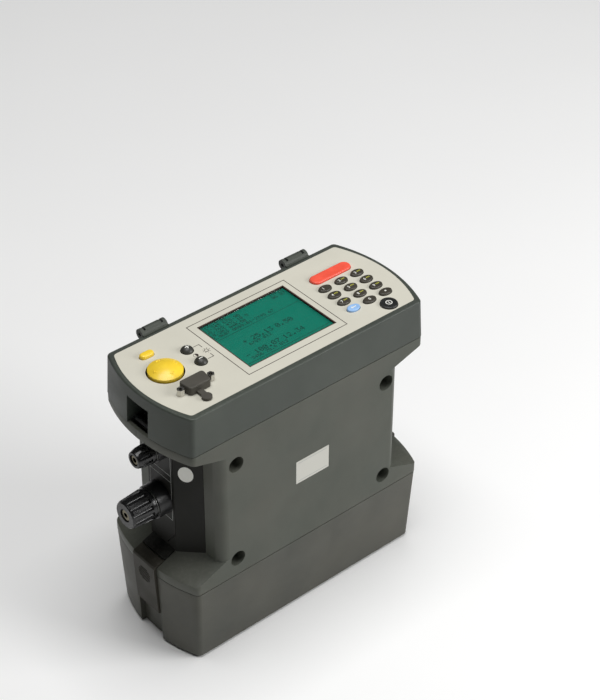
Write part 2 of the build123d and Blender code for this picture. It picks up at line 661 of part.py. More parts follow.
with BuildPart() as display_module:
    # glass on its carrier board, pressed up under the window frame
    add(box(WIN[0] - 1.6, WIN[1] - 1.6, 208.2, WIN[2] + 1.6, WIN[3] + 1.6, 211.9))
    add(box(WIN[0] + 0.8, WIN[1] + 0.8, 211.0, WIN[2] - 0.8, WIN[3] - 0.8, 218.4))
    add(box(WIN[0] - 4, WIN[1] - 4, 206.4, WIN[2] + 4, WIN[3] + 4, 208.2))
finish(display_module, "display_module")

with BuildPart() as key_mat:
    # rubber mat under the keys, and two small pads under the left buttons
    add(box(50.2, -40.6, 211.4, 93.4, 26.0, 213.4))
    add(box(-90.5, 22.4, 211.4, -73.7, 30.4, 213.4))
    add(box(-63.4, -7.0, 211.4, -52.6, 19.6, 213.4))
    fillet(key_mat.edges().filter_by(Axis.Z), 2)
finish(key_mat, "key_mat")

with BuildPart() as key_board:
    add(box(49.5, -41.2, 209.8, 93.7, 27.0, 211.4))
    add(box(-92.0, 22.2, 209.8, -73.0, 31.4, 211.4))
    add(box(-64.0, -7.6, 209.8, -52.0, 20.2, 211.4))
    fillet(key_board.edges().filter_by(Axis.Z), 1.5)
finish(key_board, "key_board")

with BuildPart() as main_board:
    # board hanging under the display, with its larger components
    add(box(-76, -38, 192.0, 76, 38, 193.6))
    for (x, y, l, w, h) in ((-40, 10, 24, 24, 3.0), (5, -8, 30, 22, 4.0), (45, 18, 14, 14, 2.4), (-12, 26, 18, 8, 5.0),
                            (48, -20, 20, 10, 8.0), (-58, -18, 16, 26, 7.0)):
        add(box(x - l / 2, y - w / 2, 193.6, x + l / 2, y + w / 2, 193.6 + h))
    for (x, y) in ((20, 24), (30, 24), (-30, -24), (-20, -24)):
        add(rod_z(x, y, 4.0, 193.6, 203.0))
    for (x, y) in BOARD_POSTS:
        add(rod_z(x, y, 1.6, 190, 196), mode=Mode.SUBTRACT)
finish(main_board, "main_board")

with BuildPart() as heat_sink:
    # finned block of the current source, standing on the floor of the body
    add(box(-52, -28, 100.0, 52, 28, 106.0))
    for i in range(11):
        x = -50 + 10 * i
        add(box(x - 1.2, -28, 106.0, x + 1.2, 28, 136.0))
    for (x, y) in ((-48, -24), (48, -24), (-48, 24), (48, 24)):
        add(rod_z(x, y, 3.0, BODY_Z0 + WALL, 100.0))
finish(heat_sink, "heat_sink")

with BuildPart() as spring_contacts:
    # plug block under the floor; six sprung pins reach into the module
    add(box(-18.0, -6.0, 61.0, 18.0, 6.0, 74.0))
    add(box(-23.0, -10.0, BODY_Z0 + WALL, 23.0, 10.0, 74.0))
    for i in range(6):
        add(rod_z(-15 + 6 * i, 0, 1.0, 58.6, 61.0))
finish(spring_contacts, "spring_contacts")

def rod_along_x(x0, x1, y, z, r):
    with BuildPart() as b:
        with BuildSketch(Plane(origin=(x0, YC + y, z), x_dir=(0, 1, 0), z_dir=(1, 0, 0))):
            Circle(r)
        extrude(amount=x1 - x0)
    return b.part


with BuildPart() as hinge_clips:
    for s in (-1, 1):
        mid = s * 63 + CLIP_DX
        x0, x1 = mid - 10.6, mid + 10.6
        add(box(x0, 44.0, 210.0, x1, 48.5, CLIP_Z + 1.5))
        add(rod_along_x(x0, x1, 49.0, CLIP_Z, 4.0))
        add(rod_along_x(x0 - 2, x1 + 2, 49.0, CLIP_Z, 1.5), mode=Mode.SUBTRACT)
        # a mating knuckle's gap near each end of the barrel
        add(box(mid - 8.2, 46.8, 208, mid - 6.4, 60, 228), mode=Mode.SUBTRACT)
        add(box(mid + 6.4, 46.8, 208, mid + 8.2, 60, 228), mode=Mode.SUBTRACT)
finish(hinge_clips, "hinge_clips")

def crown(r, z0, z1):
    # point halfway along a spherical crown from the rim (r, z0) to (0, z1)
    h = z1 - z0
    big = (r * r + h * h) / (2 * h)
    a = math.asin(r / big) / 2
    return (big * math.sin(a), z1 - big + big * math.cos(a))


# --- paddle ----------------------------------------------------------------
with BuildPart() as paddle_socket:
    # cup under the well with two bearing posts on the X axis
    add(rod_z(PAD_X, PAD_Y, WELL_R + 1.0, 207.0, PLATE_Z0))
    add(rod_z(PAD_X, PAD_Y, WELL_R, 208.6, 225), mode=Mode.SUBTRACT)
    for s in (-1, 1):
        cx = PAD_X + s * 11.5
        add(box(cx - 1.9, PAD_Y - 2.6, 207.6, cx + 1.9, PAD_Y + 2.6, 214.6))
    with BuildSketch(Plane(origin=(PAD_X - 13.1, YC + PAD_Y, PADDLE_PIVOT_Z), x_dir=(0, 1, 0), z_dir=(1, 0, 0))):
        Circle(1.27)
    extrude(amount=26.2, mode=Mode.SUBTRACT)
finish(paddle_socket, "paddle_socket")

with BuildPart() as paddle_gimbal:
    add(rod_z(PAD_X, PAD_Y, 8.9, 210.9, 214.1))
    add(rod_z(PAD_X, PAD_Y, 6.0, 205, 225), mode=Mode.SUBTRACT)
    for s in (-1, 1):
        with BuildSketch(Plane(origin=(PAD_X + s * 7.5, YC + PAD_Y, PADDLE_PIVOT_Z), x_dir=(0, 1, 0),
                               z_dir=(s, 0, 0))):
            Circle(1.2)
        extrude(amount=5.2)
    with BuildSketch(at_y(PAD_Y + 12, PAD_X, PADDLE_PIVOT_Z)):
        Circle(1.27)
    extrude(amount=24, mode=Mode.SUBTRACT)
finish(paddle_gimbal, "paddle_gimbal")

with BuildPart() as paddle:
    # shallow dome on a stem with a cross pin
    with BuildSketch(Plane(origin=(PAD_X, YC + PAD_Y, 0), x_dir=(1, 0, 0), z_dir=(0, -1, 0))):
        with BuildLine():
            Polyline((0, 210.3), (3.2, 210.3), (3.2, 217.6), (PADDLE_R - 0.9, 217.6), (PADDLE_R, 218.4),
                     (PADDLE_R, 222.0))
            ThreePointArc((PADDLE_R, 222.0), crown(PADDLE_R, 222.0, 225.5), (0, 225.5))
            Line((0, 225.5), (0, 210.3))
        make_face()
    revolve(axis=Axis((PAD_X, YC + PAD_Y, 0), (0, 0, 1)))
    add(rod_y(PAD_X, PADDLE_PIVOT_Z, 1.2, PAD_Y - 8.4, PAD_Y + 8.4))
finish(paddle, "paddle")

# --- serial connector ------------------------------------------------------
with BuildPart() as serial_connector:
    # flange under the top plate, D shell standing out through the facia
    add(dsub(DSUB_X, DSUB_Y, 206.0, 9.6, 5.1, 9.8))
    with BuildSketch(at_z(215.6, DSUB_X, DSUB_Y)):
        RectangleRounded(30.8, 12.5, 2.0)
    extrude(amount=0.9)
    add(dsub(DSUB_X, DSUB_Y, 216.0, 8.4, 4.1, 9.5))
    add(dsub(DSUB_X, DSUB_Y, 221.6, 7.9, 3.6, 8), mode=Mode.SUBTRACT)
    for k in (-1, 1):
        add(rod_z(DSUB_X + k * JACK_PITCH / 2, DSUB_Y, 1.5, 205, 225), mode=Mode.SUBTRACT)
    for i in range(5):
        add(rod_z(DSUB_X - 5.48 + 2.74 * i, DSUB_Y + 1.42, 0.5, 221.0, 224.8))
    for i in range(4):
        add(rod_z(DSUB_X - 4.11 + 2.74 * i, DSUB_Y - 1.42, 0.5, 221.0, 224.8))
finish(serial_connector, "serial_connector")

with BuildPart() as jack_screws:
    for k in (-1, 1):
        jx = DSUB_X + k * JACK_PITCH / 2
        with BuildSketch(at_z(COVER_Z1, jx, DSUB_Y)):
            RegularPolygon(2.75, 6)
        extrude(amount=5.0)
        add(rod_z(jx, DSUB_Y, 1.45, 211.0, COVER_Z1))
        add(rod_z(jx, DSUB_Y, 1.25, COVER_Z1 - 1.0, 240), mode=Mode.SUBTRACT)
finish(jack_screws, "jack_screws")

with BuildPart() as dust_cap:
    # rubber cap over the D shell, with a pull tab towards the front
    add(dsub(DSUB_X, DSUB_Y, 220.3, 10.2, 5.7, 6.3))
    fillet(dust_cap.edges().group_by(Axis.Z)[-1], 0.9)
    add(dsub(DSUB_X, DSUB_Y, 220.0, 8.65, 4.35, 5.7), mode=Mode.SUBTRACT)
    with BuildSketch(at_z(220.5, DSUB_X - 1.5, DSUB_Y)):
        with Locations((0, -9.0)):
            Rectangle(4.4, 8.0)
        with Locations((0, -13.6)):
            Circle(3.6)
    extrude(amount=1.8)
finish(dust_cap, "dust_cap")


# --- keys and buttons ------------------------------------------------------
# each one has a cap through the facia and a flange that stops it under the
# cover's top plate
def key(x, y, name):
    with BuildPart() as k:
        add(ellipse(x, y, 214.4, 5.3, 3.5, 7.2))
        fillet(k.edges().group_by(Axis.Z)[-1], 0.8)
        add(ellipse(x, y, 214.4, 6.3, 4.4, 1.9))
    finish(k, name)
    return k


for row, names in enumerate(KEY_NAMES):
    for col, key_name in enumerate(names):
        key(KEY_X[col], KEY_Y[row], key_name)

with BuildPart() as test_button:
    add(oval(TEST_X, TEST_Y, 214.4, 35.4, 9.6, 7.4))
    fillet(test_button.edges().group_by(Axis.Z)[-1], 1.2)
    add(oval(TEST_X, TEST_Y, 214.4, 37.4, 11.4, 1.9))
finish(test_button, "test_button")

with BuildPart() as power_button:
    add(rod_z(POWER_X, POWER_Y, 6.3, 214.4, 221.6))
    fillet(power_button.edges().group_by(Axis.Z)[-1], 0.7)
    add(rod_z(POWER_X, POWER_Y, 7.3, 214.4, 216.3))
finish(power_button, "power_button")

with BuildPart() as select_button:
    add(oval(SELECT_X, SELECT_Y, 214.4, 11.0, 5.6, 8.4))
    fillet(select_button.edges().group_by(Axis.Z)[-1], 1.5)
    add(oval(SELECT_X, SELECT_Y, 214.4, 12.8, 7.0, 1.9))
finish(select_button, "select_button")


def dome(pos, name):
    x, y = pos
    with BuildPart() as b:
        with BuildSketch(Plane(origin=(x, YC + y, 0), x_dir=(1, 0, 0), z_dir=(0, -1, 0))):
            with BuildLine():
                Polyline((0, 214.4), (5.5, 214.4), (5.5, 216.3), (4.4, 216.3), (4.4, 221.0))
                ThreePointArc((4.4, 221.0), crown(4.4, 221.0, 223.6), (0, 223.6))
                Line((0, 223.6), (0, 214.4))
            make_face()
        revolve(axis=Axis((x, YC + y, 0), (0, 0, 1)))
    finish(b, name)
    return b


contrast_button = dome(DOME_A, "contrast_button")
backlight_button = dome(DOME_B, "backlight_button")
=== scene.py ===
import math
import random

import bmesh
import bpy
from mathutils import Matrix, Vector


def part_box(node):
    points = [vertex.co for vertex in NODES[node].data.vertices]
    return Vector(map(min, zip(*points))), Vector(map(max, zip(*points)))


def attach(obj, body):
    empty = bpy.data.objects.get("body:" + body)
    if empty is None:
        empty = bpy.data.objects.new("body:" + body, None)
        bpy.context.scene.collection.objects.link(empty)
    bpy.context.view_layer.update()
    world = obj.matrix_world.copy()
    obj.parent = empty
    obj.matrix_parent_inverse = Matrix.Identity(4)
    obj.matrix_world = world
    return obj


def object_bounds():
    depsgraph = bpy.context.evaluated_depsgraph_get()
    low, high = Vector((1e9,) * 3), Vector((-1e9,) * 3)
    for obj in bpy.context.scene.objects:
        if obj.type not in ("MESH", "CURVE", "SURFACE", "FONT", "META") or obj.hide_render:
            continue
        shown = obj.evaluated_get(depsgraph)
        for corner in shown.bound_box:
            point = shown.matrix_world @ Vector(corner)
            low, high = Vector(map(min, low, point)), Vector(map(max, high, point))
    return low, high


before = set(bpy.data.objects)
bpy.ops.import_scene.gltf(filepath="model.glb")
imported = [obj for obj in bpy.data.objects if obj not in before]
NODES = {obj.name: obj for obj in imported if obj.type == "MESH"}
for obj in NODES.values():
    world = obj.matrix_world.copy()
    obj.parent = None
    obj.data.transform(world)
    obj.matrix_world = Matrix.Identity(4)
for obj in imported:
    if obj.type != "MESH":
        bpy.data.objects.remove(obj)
cad_lo, cad_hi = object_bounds()
MM = 0.001


# ---------------------------------------------------------------------------
# Material helpers: every finish is built from nodes in object space
# ---------------------------------------------------------------------------
def srgb(r, g, b):
    def lin(c):
        c /= 255.0
        return c / 12.92 if c <= 0.04045 else ((c + 0.055) / 1.055) ** 2.4

    return (lin(r), lin(g), lin(b), 1.0)


class Net:
    """Short names for making a material's nodes."""

    def __init__(self, name):
        self.mat = bpy.data.materials.new(name)
        self.mat.use_nodes = True
        self.tree = self.mat.node_tree
        self.out = self.tree.nodes["Material Output"]
        self.bsdf = self.tree.nodes["Principled BSDF"]
        self.coord = self.node("ShaderNodeTexCoord").outputs["Object"]

    def node(self, kind, **props):
        n = self.tree.nodes.new(kind)
        for k, v in props.items():
            setattr(n, k, v)
        return n

    def link(self, a, b):
        self.tree.links.new(a, b)

    def noise(self, scale, detail=3.0, rough=0.5, vec=None, distortion=0.0):
        n = self.node("ShaderNodeTexNoise")
        n.inputs["Scale"].default_value = scale
        n.inputs["Detail"].default_value = detail
        n.inputs["Roughness"].default_value = rough
        n.inputs["Distortion"].default_value = distortion
        self.link(vec or self.coord, n.inputs["Vector"])
        return n.outputs["Fac"]

    def voronoi(self, scale, vec=None, feature="F1", out="Distance"):
        n = self.node("ShaderNodeTexVoronoi", feature=feature)
        n.inputs["Scale"].default_value = scale
        self.link(vec or self.coord, n.inputs["Vector"])
        return n.outputs[out]

    def stretched(self, sx, sy, sz):
        n = self.node("ShaderNodeMapping")
        n.inputs["Scale"].default_value = (sx, sy, sz)
        self.link(self.coord, n.inputs["Vector"])
        return n.outputs["Vector"]

    def fit(self, value, a, b, lo=0.0, hi=1.0):
        n = self.node("ShaderNodeMapRange")
        n.inputs["From Min"].default_value = lo
        n.inputs["From Max"].default_value = hi
        n.inputs["To Min"].default_value = a
        n.inputs["To Max"].default_value = b
        self.link(value, n.inputs["Value"])
        return n.outputs["Result"]

    def math(self, op, a, b):
        n = self.node("ShaderNodeMath", operation=op)
        for i, v in enumerate((a, b)):
            if isinstance(v, (int, float)):
                n.inputs[i].default_value = v
            else:
                self.link(v, n.inputs[i])
        return n.outputs[0]

    def blend(self, fac, a, b, kind="MIX"):
        n = self.node("ShaderNodeMix", data_type="RGBA", blend_type=kind)
        for key, v in ((0, fac), (6, a), (7, b)):
            if isinstance(v, (int, float, tuple)):
                n.inputs[key].default_value = v
            else:
                self.link(v, n.inputs[key])
        return n.outputs[2]

    def bump(self, height, distance, strength=1.0, normal=None):
        n = self.node("ShaderNodeBump")
        n.inputs["Distance"].default_value = distance
        n.inputs["Strength"].default_value = strength
        self.link(height, n.inputs["Height"])
        if normal is not None:
            self.link(normal, n.inputs["Normal"])
        return n.outputs["Normal"]

    def set(self, **values):
        for k, v in values.items():
            self.bsdf.inputs[k.replace("_", " ")].default_value = v

    def edge_mask(self, radius, lo=0.02, hi=0.22):
        """1 along outer edges and in tight corners, 0 on open faces; used to paint lighter edges as edge highlight and
        wear.
        """
        bev = self.node("ShaderNodeBevel", samples=4)
        bev.inputs["Radius"].default_value = radius
        geo = self.node("ShaderNodeNewGeometry")
        dot = self.node("ShaderNodeVectorMath", operation="DOT_PRODUCT")
        self.link(bev.outputs["Normal"], dot.inputs[0])
        self.link(geo.outputs["Normal"], dot.inputs[1])
        away = self.math("SUBTRACT", 1.0, dot.outputs["Value"])
        return self.fit(away, 0.0, 1.0, lo, hi)


def shade(c, k):
    return (min(c[0] * k, 1.0), min(c[1] * k, 1.0), min(c[2] * k, 1.0), 1.0)


def moulded(name, colour, rough=0.46, grain=1500.0, depth=0.00004, edge_highlight_and_wear=0.5, dust_and_top_light=0.10, warm=None, radius=0.0007,
            spec=0.28):
    """Spark-textured moulded plastic: fine grain, slow tone drift, rubbed edges with painted edge highlight, and
    painted top light on up-facing faces, mottled like dust.
    """
    n = Net(name)
    drift = n.noise(17.0, 4.0, 0.55)
    cloud = n.noise(70.0, 3.0, 0.6)
    fleck = n.noise(2300.0, 2.0, 0.6)
    base = n.blend(n.fit(drift, 0.0, 1.0, 0.32, 0.70), shade(colour, 0.90), shade(warm or colour, 1.08))
    base = n.blend(n.fit(cloud, 0.0, 0.35, 0.40, 0.72), base, shade(colour, 1.12))
    base = n.blend(n.fit(fleck, 0.0, 0.22, 0.55, 0.78), base, shade(colour, 1.38))
    # painted edge highlight: outer edges and tight corners lightened, broken up by a rub pattern as wear
    if edge_highlight_and_wear:
        edge = n.edge_mask(radius)
        edge_highlight_and_rub = n.math("MULTIPLY", edge, n.fit(n.noise(240.0, 4.0, 0.65), 0.15, 1.0, 0.35, 0.65))
        base = n.blend(n.math("MULTIPLY", edge_highlight_and_rub, edge_highlight_and_wear), base, shade(colour, 2.1))
    # painted top light: up-facing faces blended towards a pale tone, mottled by noise like dust
    geo = n.node("ShaderNodeNewGeometry")
    split = n.node("ShaderNodeSeparateXYZ")
    n.link(geo.outputs["Normal"], split.inputs[0])
    up = n.fit(split.outputs["Z"], 0.0, 1.0, 0.55, 0.98)
    painted_top_light = n.math("MULTIPLY", up, n.fit(n.noise(420.0, 5.0, 0.7), 0.0, dust_and_top_light, 0.46, 0.74))
    base = n.blend(painted_top_light, base, srgb(150, 148, 140))
    n.link(base, n.bsdf.inputs["Base Color"])
    rub_map = n.noise(36.0, 5.0, 0.6, distortion=0.6)
    n.link(n.fit(rub_map, rough + 0.07, rough - 0.07, 0.30, 0.72), n.bsdf.inputs["Roughness"])
    pits = n.voronoi(grain)
    fine = n.noise(grain * 1.7, 2.0, 0.6)
    height = n.math("ADD", n.math("MULTIPLY", pits, 0.7), n.math("MULTIPLY", fine, 0.5))
    n.link(n.bump(height, depth, 0.55), n.bsdf.inputs["Normal"])
    n.set(Specular_IOR_Level=spec)
    return n.mat


def rubber(name, colour, rough=0.52, coat=0.0, span=0.10, light=1.12, depth=0.00003):
    n = Net(name)
    a = n.noise(120.0, 4.0, 0.6)
    b = n.noise(900.0, 3.0, 0.6)
    base = n.blend(n.fit(a, 0.0, 1.0, 0.35, 0.68), shade(colour, 0.92), shade(colour, light))
    base = n.blend(n.fit(b, 0.0, 0.25, 0.50, 0.75), base, shade(colour, light * 1.08))
    # painted edge highlight: rubber edges and tight corners lightened
    edge = n.edge_mask(0.0005)
    base = n.blend(n.math("MULTIPLY", edge, 0.25), base, shade(colour, 1.35))
    n.link(base, n.bsdf.inputs["Base Color"])
    n.link(n.fit(n.noise(60.0, 4.0, 0.6), rough - span, rough + span, 0.30, 0.70), n.bsdf.inputs["Roughness"])
    n.link(n.bump(n.noise(2600.0, 3.0, 0.6), depth, 0.4), n.bsdf.inputs["Normal"])
    if coat:
        n.set(Coat_Weight=coat, Coat_Roughness=0.16)
    n.set(Specular_IOR_Level=0.45)
    return n.mat


def glossy_plastic(name, colour, rough=0.17, streak=0.0):
    """Polished thermoset of the posts: fingerprints in the gloss and fine turning or rubbing lines."""
    n = Net(name)
    a = n.noise(90.0, 3.0, 0.6)
    base = n.blend(n.fit(a, 0.0, 1.0, 0.35, 0.7), shade(colour, 0.85), shade(colour, 1.25))
    # scuffed edges with painted edge highlight: edges and tight corners lightened to grey
    edge = n.edge_mask(0.0005)
    scuff_and_edge_highlight = n.math("MULTIPLY", edge, n.fit(n.noise(500.0, 4.0, 0.7), 0.0, 0.55, 0.40, 0.65))
    base = n.blend(scuff_and_edge_highlight, base, srgb(74, 74, 76))
    n.link(base, n.bsdf.inputs["Base Color"])
    prints = n.noise(150.0, 6.0, 0.62, distortion=1.2)
    n.link(n.fit(prints, rough, rough + 0.16, 0.38, 0.70), n.bsdf.inputs["Roughness"])
    if streak:
        lines = n.noise(1600.0, 2.0, 0.5, vec=n.stretched(0.02, 1.0, 1.0))
        n.link(n.bump(lines, streak, 0.5), n.bsdf.inputs["Normal"])
    else:
        n.link(n.bump(n.noise(700.0, 2.0, 0.5), 0.00002, 0.35), n.bsdf.inputs["Normal"])
    n.set(Specular_IOR_Level=0.5)
    return n.mat


def metal(name, colour, rough=0.26, brush=None, tarnish=0.25, metallic=1.0):
    n = Net(name)
    vec = n.stretched(*brush) if brush else n.coord
    lines = n.noise(1500.0, 4.0, 0.6, vec=vec)
    stain = n.noise(260.0, 4.0, 0.6)
    base = n.blend(n.fit(stain, 0.0, tarnish, 0.42, 0.72), shade(colour, 1.0), shade(colour, 0.55))
    base = n.blend(n.fit(lines, 0.0, 0.25, 0.35, 0.70), base, shade(colour, 1.25))
    n.link(base, n.bsdf.inputs["Base Color"])
    n.link(n.fit(lines, rough - 0.06, rough + 0.12, 0.30, 0.70), n.bsdf.inputs["Roughness"])
    n.link(n.bump(lines, 0.000015, 0.5), n.bsdf.inputs["Normal"])
    n.set(Metallic=metallic)
    return n.mat


def printed_film(name, colour):
    """Polyester front label: fine orange peel, printed ink flecks and slight soiling."""
    n = Net(name)
    soil = n.noise(26.0, 5.0, 0.6)
    ink = n.noise(3200.0, 2.0, 0.5)
    base = n.blend(n.fit(soil, 0.0, 1.0, 0.35, 0.72), shade(colour, 1.02), shade(colour, 0.955))
    base = n.blend(n.fit(ink, 0.0, 0.35, 0.52, 0.75), base, shade(colour, 0.90))
    n.link(base, n.bsdf.inputs["Base Color"])
    n.link(n.fit(n.noise(48.0, 5.0, 0.6), 0.40, 0.54, 0.32, 0.70), n.bsdf.inputs["Roughness"])
    n.link(n.bump(n.noise(1250.0, 3.0, 0.55), 0.00003, 0.45), n.bsdf.inputs["Normal"])
    n.set(Specular_IOR_Level=0.4)
    return n.mat


def ink(name, colour, rough=0.5):
    n = Net(name)
    worn = n.noise(2800.0, 4.0, 0.65)
    base = n.blend(n.fit(worn, 0.0, 0.3, 0.50, 0.80), colour, shade(colour, 0.72))
    n.link(base, n.bsdf.inputs["Base Color"])
    n.link(n.fit(worn, rough - 0.06, rough + 0.08, 0.3, 0.7), n.bsdf.inputs["Roughness"])
    n.link(n.bump(worn, 0.00001, 0.3), n.bsdf.inputs["Normal"])
    return n.mat


def circuit(name, colour):
    n = Net(name)
    tracks = n.voronoi(420.0, vec=n.stretched(1.0, 0.35, 1.0), feature="DISTANCE_TO_EDGE")
    a = n.fit(tracks, 1.0, 0.0, 0.02, 0.10)
    base = n.blend(n.math("MULTIPLY", a, 0.5), colour, shade(colour, 1.9))
    base = n.blend(n.fit(n.noise(200.0, 3.0), 0.0, 0.3, 0.4, 0.7), base, shade(colour, 0.7))
    n.link(base, n.bsdf.inputs["Base Color"])
    n.link(n.fit(n.noise(300.0), 0.30, 0.42, 0.3, 0.7), n.bsdf.inputs["Roughness"])
    n.link(n.bump(a, 0.00003, 0.5), n.bsdf.inputs["Normal"])
    return n.mat


def lcd_glass(name, colour):
    """Back-lit liquid crystal: green with a faint dot grid and a slow, random brightness drift across the face."""
    n = Net(name)
    geo = n.node("ShaderNodeNewGeometry")
    lit = n.noise(14.0, 2.0, 0.5)
    split = n.node("ShaderNodeSeparateXYZ")
    n.link(n.coord, split.inputs[0])
    gx = n.math("ABSOLUTE", n.math("SINE", n.math("MULTIPLY", split.outputs["X"], math.pi / 0.00033), 0.0), 0.0)
    gy = n.math("ABSOLUTE", n.math("SINE", n.math("MULTIPLY", split.outputs["Y"], math.pi / 0.00033), 0.0), 0.0)
    grid = n.fit(n.math("MINIMUM", gx, gy), 0.0, 1.0, 0.05, 0.40)
    base = n.blend(n.fit(lit, 0.0, 1.0, 0.30, 0.72), shade(colour, 0.93), shade(colour, 1.06))
    base = n.blend(grid, shade(colour, 0.90), base)
    # the carrier below the glass is plain dark plastic
    inner = n.fit(split.outputs["Z"], 0.0, 1.0, 0.2119, 0.2121)
    base = n.blend(inner, srgb(40, 46, 42), base)
    n.link(base, n.bsdf.inputs["Base Color"])
    n.link(n.fit(n.noise(80.0), 0.28, 0.38, 0.3, 0.7), n.bsdf.inputs["Roughness"])
    n.link(n.bump(grid, 0.000004, 0.3), n.bsdf.inputs["Normal"])
    n.link(geo.outputs["Position"], n.node("ShaderNodeSeparateXYZ").inputs[0])
    return n.mat


def clear_pane(name):
    """Acrylic window: almost clear, with a soft sheen, hairline scratches and a trace of dust."""
    n = Net(name)
    n.tree.nodes.remove(n.bsdf)
    clear = n.node("ShaderNodeBsdfTransparent")
    clear.inputs["Color"].default_value = (0.94, 0.975, 0.965, 1.0)
    shine = n.node("ShaderNodeBsdfGlossy")
    shine.inputs["Color"].default_value = (1, 1, 1, 1)
    hair = n.noise(1100.0, 3.0, 0.6, vec=n.stretched(0.05, 1.0, 1.0))
    n.link(n.fit(hair, 0.10, 0.22, 0.35, 0.70), shine.inputs["Roughness"])
    n.link(n.bump(hair, 0.000004, 0.35), shine.inputs["Normal"])
    fres = n.node("ShaderNodeFresnel")
    fres.inputs["IOR"].default_value = 1.46
    film = n.node("ShaderNodeMixShader")
    n.link(n.math("MULTIPLY", fres.outputs["Fac"], 0.25), film.inputs[0])
    n.link(clear.outputs[0], film.inputs[1])
    n.link(shine.outputs[0], film.inputs[2])
    dust_and_top_light = n.node("ShaderNodeBsdfDiffuse")
    dust_and_top_light.inputs["Color"].default_value = srgb(200, 205, 198)
    total = n.node("ShaderNodeMixShader")
    n.link(n.fit(n.noise(600.0, 5.0, 0.75), 0.0, 0.006, 0.5, 0.8), total.inputs[0])
    n.link(film.outputs[0], total.inputs[1])
    n.link(dust_and_top_light.outputs[0], total.inputs[2])
    n.link(total.outputs[0], n.out.inputs["Surface"])
    return n.mat


# ---------------------------------------------------------------------------
# Finishes
# ---------------------------------------------------------------------------
CASE = srgb(80, 84, 76)
COVER = srgb(66, 71, 66)
M = {
    "case": moulded("casing_moulding", CASE, warm=srgb(84, 84, 76)),
    "case_low": moulded("module_moulding", srgb(79, 80, 74), warm=srgb(83, 82, 74)),
    # end panels: base colour darkened to stand for the shade on the instrument's ends, painted shade
    "panel": moulded("end_panel_painted_shade", srgb(38, 38, 35), rough=0.50, grain=1900.0, depth=0.00003, spec=0.12),
    "cover": moulded("cover_moulding", COVER, warm=srgb(69, 74, 67), rough=0.42),
    "latch": moulded("latch_moulding", srgb(58, 56, 49), rough=0.44, grain=2100.0, depth=0.00002, spec=0.16),
    "clip": moulded("clip_moulding", srgb(72, 76, 70), rough=0.48),
    "film": printed_film("facia_film", srgb(211, 208, 194)),
    "plate": moulded("terminal_plate_face", srgb(37, 37, 34), rough=0.44, grain=2600.0, depth=0.00001, edge_highlight_and_wear=0.25,
                     dust_and_top_light=0.03, spec=0.14),
    "post": glossy_plastic("post_black", srgb(25, 25, 26), rough=0.20, streak=0.0000015),
    "bush": glossy_plastic("bush_black", srgb(29, 29, 30), rough=0.30),
    "metal": metal("plated_steel", srgb(198, 196, 190), rough=0.24),
    "socket": metal("plated_brass", srgb(112, 106, 88), rough=0.26, brush=(1.0, 0.1, 0.1)),
    "washer": metal("washer_steel", srgb(112, 112, 110), rough=0.36),
    "bar": metal("strap_bar_steel", srgb(140, 141, 142), rough=0.30, brush=(1.0, 0.08, 1.0)),
    "screw": metal("screw_black", srgb(52, 51, 48), rough=0.38),
    "red": rubber("key_red", srgb(246, 90, 68), rough=0.46, coat=0.15),
    "brown": rubber("key_brown", srgb(62, 58, 50), rough=0.42, coat=0.2, light=1.2),
    "blue": rubber("key_blue", srgb(150, 190, 236), rough=0.42, coat=0.15),
    "yellow": rubber("paddle_yellow", srgb(255, 214, 58), rough=0.40, coat=0.25, light=1.05),
    "cap": rubber("cap_rubber", srgb(72, 69, 62), rough=0.60),
    "dome": rubber("dome_rubber", srgb(50, 50, 46), rough=0.44, coat=0.12, light=1.2),
    "power": rubber("power_rubber", srgb(38, 39, 38), rough=0.36, coat=0.35, light=1.2),
    "foot": rubber("foot_rubber", srgb(34, 34, 35), rough=0.70),
    "mat": rubber("mat_rubber", srgb(50, 50, 52), rough=0.66),
    "inside": moulded("inner_moulding", srgb(58, 60, 60), rough=0.55, edge_highlight_and_wear=0.0, dust_and_top_light=0.0),
    "board": circuit("board_green", srgb(22, 88, 48)),
    "lcd": lcd_glass("lcd_teal", srgb(0, 138, 117)),
    "pane": clear_pane("window_acrylic"),
    "fins": metal("sink_aluminium", srgb(172, 174, 178), rough=0.40, brush=(1.0, 1.0, 0.05)),
    "cells": metal("cell_sleeve", srgb(70, 120, 160), rough=0.35, metallic=0.35),
    "ink_dark": ink("ink_dark", srgb(50, 38, 34)),
    "ink_white": ink("ink_white", srgb(238, 238, 230)),
    "ink_green": ink("ink_yellow_green", srgb(176, 176, 66)),
    "ink_grey": ink("ink_grey", srgb(176, 178, 174)),
    "ink_bezel": ink("ink_bezel", srgb(72, 48, 40)),
    "ink_orange": ink("ink_orange", srgb(224, 160, 24)),
    "segments": ink("lcd_segments", srgb(0, 26, 24), rough=0.45),
    "sticker": printed_film("sticker_face", srgb(206, 205, 196)),
}

FINISH = {
    "battery_case": "case_low", "battery_lid": "inside", "battery_cells": "cells", "battery_contacts": "inside",
    "charge_inlet": "inside", "rubber_feet": "foot", "battery_lid_screws": "screw",
    "front_shell": "case", "rear_shell": "case", "left_end_panel": "panel", "right_end_panel": "panel",
    "terminal_plates": "plate", "post_bushes": "bush", "post_studs": "socket", "latch_pins": "metal",
    "strap_bars": "bar", "case_screws": "screw", "top_cover": "cover", "facia_label": "film",
    "display_window": "pane", "display_module": "lcd", "key_mat": "mat", "key_board": "board", "main_board": "board",
    "heat_sink": "fins", "spring_contacts": "inside", "hinge_clips": "clip", "paddle_socket": "inside",
    "paddle_gimbal": "inside", "paddle": "yellow", "serial_connector": "metal", "jack_screws": "metal",
    "dust_cap": "cap", "test_button": "red", "power_button": "power", "select_button": "yellow",
    "contrast_button": "dome", "backlight_button": "dome", "key_clear": "blue", "left_latch": "latch",
    "right_latch": "latch",
}
